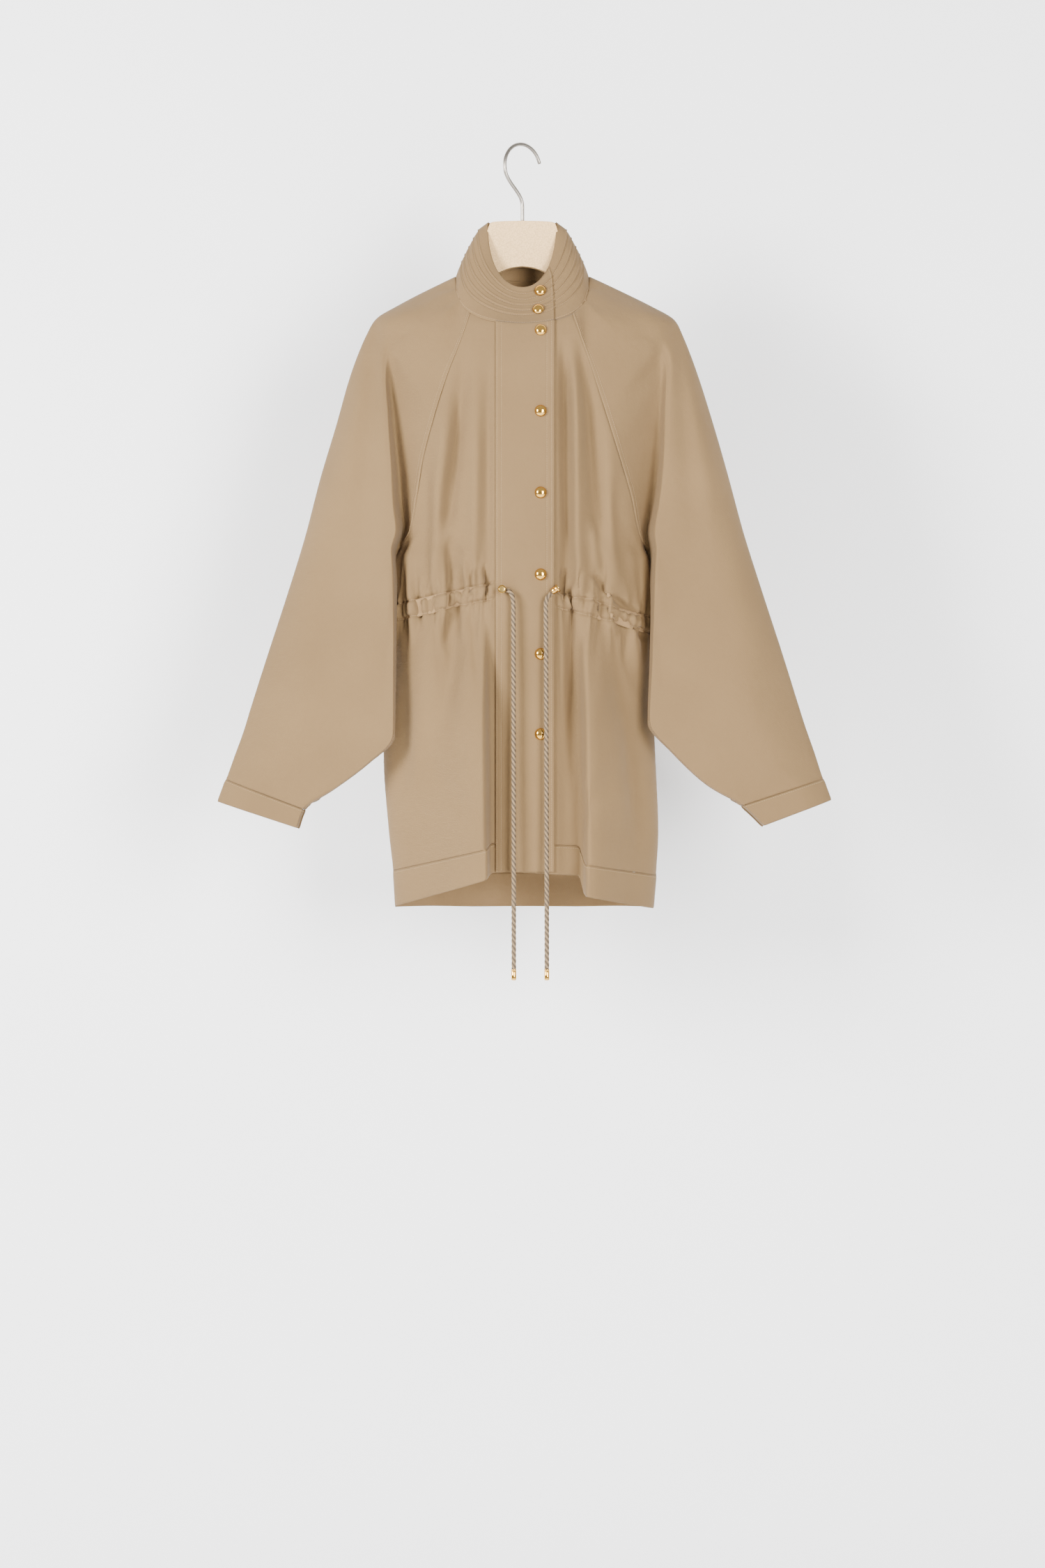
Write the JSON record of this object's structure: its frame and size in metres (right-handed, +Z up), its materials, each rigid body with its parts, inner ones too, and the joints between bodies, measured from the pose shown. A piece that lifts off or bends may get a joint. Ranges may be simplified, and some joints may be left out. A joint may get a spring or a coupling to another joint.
{
  "type": "parka on a hanger",
  "caption": "Light beige cotton parka with a funnel collar, batwing sleeves, gold snaps and a drawstring waist, hanging closed on a hanger.",
  "frame": {"origin": "underside of the top of the hook, where a rail carries it", "axes": "+Z up, +X to the right of someone facing the front of the parka, -Y toward them"},
  "size_m": [0.806, 0.1748, 1.1016],
  "materials": {
    "cotton": "matte",
    "gold": "polished",
    "rope": "matte",
    "hanger_head": "matte",
    "hook_steel": "satin"
  },
  "bodies": {
    "root": {"back": "cotton", "front_left": "cotton", "front_right": "cotton", "placket": "cotton", "collar": "cotton", "sleeve_left": "cotton", "sleeve_right": "cotton", "cuff_left": "cotton", "cuff_right": "cotton", "hem_back": "cotton", "hem_front_left": "cotton", "hem_front_right": "cotton", "casing_back": "cotton", "casing_left": "cotton", "casing_right": "cotton", "snap_1": "gold", "snap_2": "gold", "snap_3": "gold", "snap_4": "gold", "snap_5": "gold", "snap_6": "gold", "snap_7": "gold", "snap_8": "gold", "ferrule_left": "gold", "ferrule_right": "gold", "tip_left": "gold", "tip_right": "gold", "cord_left": "rope", "cord_right": "rope", "hanger": "hanger_head", "hook": "hook_steel"}
  },
  "joints": []
}
